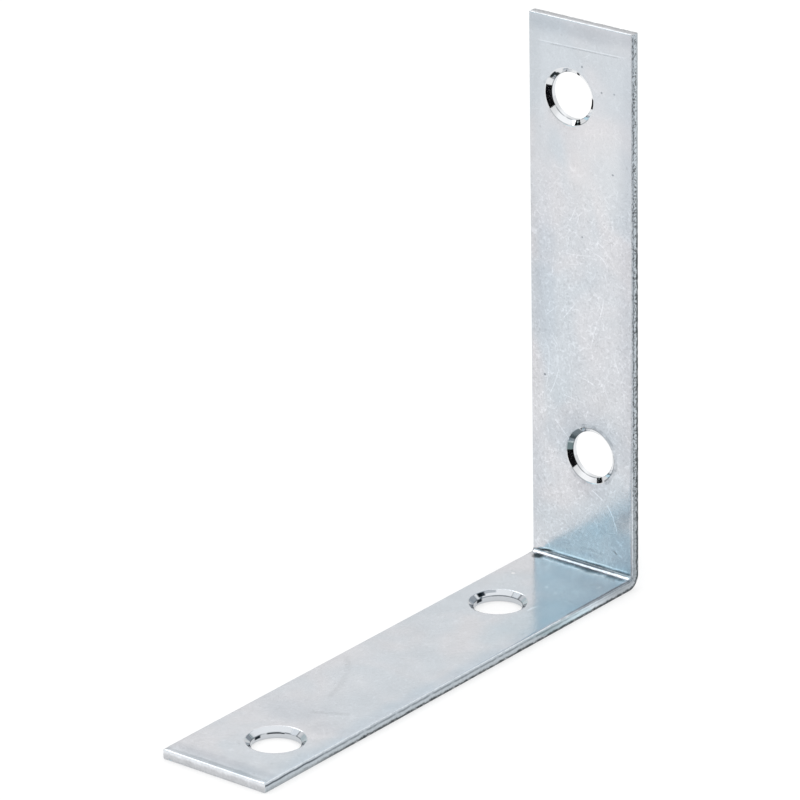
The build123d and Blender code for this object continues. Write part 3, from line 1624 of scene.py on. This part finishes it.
@dataclass(frozen=True)
class FloorCard:
    """A card that lies on the floor for the metal to mirror, placed by distance and direction."""

    name: str
    paper: StudioPaper
    reach: tuple[float, float]
    azimuths: tuple[float, float]
    lift: float = 0.3 * MM

    def build(self, heel: Vector) -> bpy.types.Object:
        """Lay the card on the floor.

        Args:
            heel: Where its distances and directions are measured from.

        Returns:
            The card.
        """
        near, far = self.reach
        first, last = (math.radians(turn) for turn in self.azimuths)
        azimuth, half = (first + last) / 2, (last - first) / 2
        middle = (near + far) / 2
        place = (heel.x + middle * math.cos(azimuth), heel.y + middle * math.sin(azimuth), self.lift)
        card = flat_sheet(self.name, place, (0, 0, azimuth), (far - near, 1))
        with editing(card):
            for distance in (near, far):
                self._widen(heel, azimuth, distance, 2 * distance * math.tan(half))
        return mirrored_only(card, self.paper)

    def _widen(self, heel: Vector, azimuth: float, distance: float, width: float) -> None:
        """Make one of the card's cross edges as wide as its directions are there.

        Args:
            heel: Where the distance is measured from.
            azimuth: The card's middle direction.
            distance: How far away the edge is.
            width: The edge's new length.
        """
        away = heading(azimuth, 0)
        foot = Vector((heel.x, heel.y, 0))

        def crosses(edge: bmesh.types.BMEdge) -> bool:
            """Tell whether an edge lies right across the card at this distance."""
            return all(abs((vert.co - foot).dot(away) - distance) < TINY for vert in edge.verts)

        select(Pick.EDGES, crosses)
        bpy.ops.transform.resize(value=(width, width, 1), center_override=foot + away * distance)


@dataclass(frozen=True)
class Studio:
    """A pale floor under a large soft light, with a few sheets for the metal to mirror."""

    floor_size: float = 4.0
    floor_drop: float = 0.02 * MM
    floor: StudioPaper = StudioPaper(Paper.FLOOR, (0.5, 0.5, 0.5), 1.0)
    dark: StudioPaper = StudioPaper(Paper.DARK, (0.004, 0.004, 0.005))
    dim: StudioPaper = StudioPaper(Paper.DIM, (0.16, 0.19, 0.20), 1.0)
    cool: StudioPaper = StudioPaper(Paper.COOL, (0.42, 0.56, 0.61), 1.0)
    lamp: StudioPaper = StudioPaper(Paper.LAMP, (1.0, 1.0, 1.0), 1.7)
    grey: StudioPaper = StudioPaper(Paper.GREY, (0.45, 0.50, 0.50), 0.7)
    heel: tuple[float, float, float] = (-43 * MM, 0.0, 20 * MM)
    sky: tuple[tuple[float, float], ...] = (
        (0.0, 0.91),
        (24.0, 0.94),
        (36.0, 1.02),
        (42.0, 1.22),
        (90.0, 1.30),
    )

    def build(self) -> None:
        """Lay the floor, light it and set how bright tones are shown."""
        sides = (self.floor_size, self.floor_size)
        floor = flat_sheet("floor", (0, 0, -self.floor_drop), (0, 0, 0), sides)
        floor.data.materials.append(self.floor.material())
        self._hang_sheets()
        bpy.context.scene.world = self._light()
        bpy.context.scene.view_settings.view_transform = "Standard"

    def _hang_sheets(self) -> None:
        """Hang and lay the sheets that the metal mirrors."""
        hung = (
            ("camera_side", self.dark, (25.0, 43.0), (-2.5, 23.5), 1.5),
            ("light_stand", self.dark, (-78.0, -64.0), (13.5, 34.0), 1.8),
            ("stand_gap", self.grey, (-73.2, -69.8), (24.5, 30.0), 1.7),
            ("cool_wall", self.cool, (-52.0, -28.0), (9.0, 29.0), 1.8),
            ("soft_lamp", self.lamp, (-140.0, -55.0), (40.0, 60.0), 1.8),
            ("over_camera", self.dim, (18.0, 46.0), (44.0, 68.0), 1.8),
            ("far_wall", self.grey, (158.0, 190.0), (13.0, 34.0), 1.8),
            ("far_stand", self.grey, (-126.0, -111.0), (-1.4, 11.0), 1.8),
            ("near_stand", self.grey, (-109.0, -95.0), (9.0, 24.0), 1.8),
            ("fence", self.dark, (32.0, 50.0), (-22.7, -11.8), 50 * MM, self.heel),
        )
        laid = (
            ("shaded_foot", self.grey, (14 * MM, 46 * MM), (24.0, 46.0)),
            ("dark_path", self.dark, (96 * MM, 1.6), (25.0, 43.0)),
            ("low_shade", self.dark, (91 * MM, 103 * MM), (-122.0, -113.0)),
            ("high_shade", self.dark, (195 * MM, 345 * MM), (-122.0, -106.0)),
        )
        for sheet in hung:
            Sheet(*sheet).build()
        for card in laid:
            FloorCard(*card).build(Vector(self.heel))

    def _light(self) -> bpy.types.World:
        """Make the soft light, brightest overhead.

        Returns:
            The world that holds it.
        """
        bench = Bench(bpy.data.worlds.new("studio"))
        toward = bench.node("ShaderNodeTexCoord")["Generated"]
        height = bench.node("ShaderNodeSeparateXYZ", inputs={0: toward})["Z"]
        stops = [(math.sin(math.radians(angle)), (tone, tone, tone)) for angle, tone in self.sky]
        inputs = {"Color": bench.bands(height, stops), "Strength": 1.0}
        light = bench.node("ShaderNodeBackground", inputs=inputs)
        return bench.finish(light["Background"])


def main() -> None:
    """Build the brace and its studio, and report each piece."""
    logging.basicConfig(level=logging.INFO, format="%(name)s: %(message)s")
    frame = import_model()
    strip = FoldedStrip.from_frame("corner_brace", frame["record"])
    brace = strip.build()
    brace.data.materials.append(ZincPlate().material(strip))
    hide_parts("corner_brace")
    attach(brace, "root")
    log.info("%s: %d faces", brace.name, len(brace.data.polygons))
    camera = Viewpoint().build()
    log.info("%s: %.0f mm lens", camera.name, camera.data.lens)
    Studio().build()


if __name__ == "__main__":
    main()
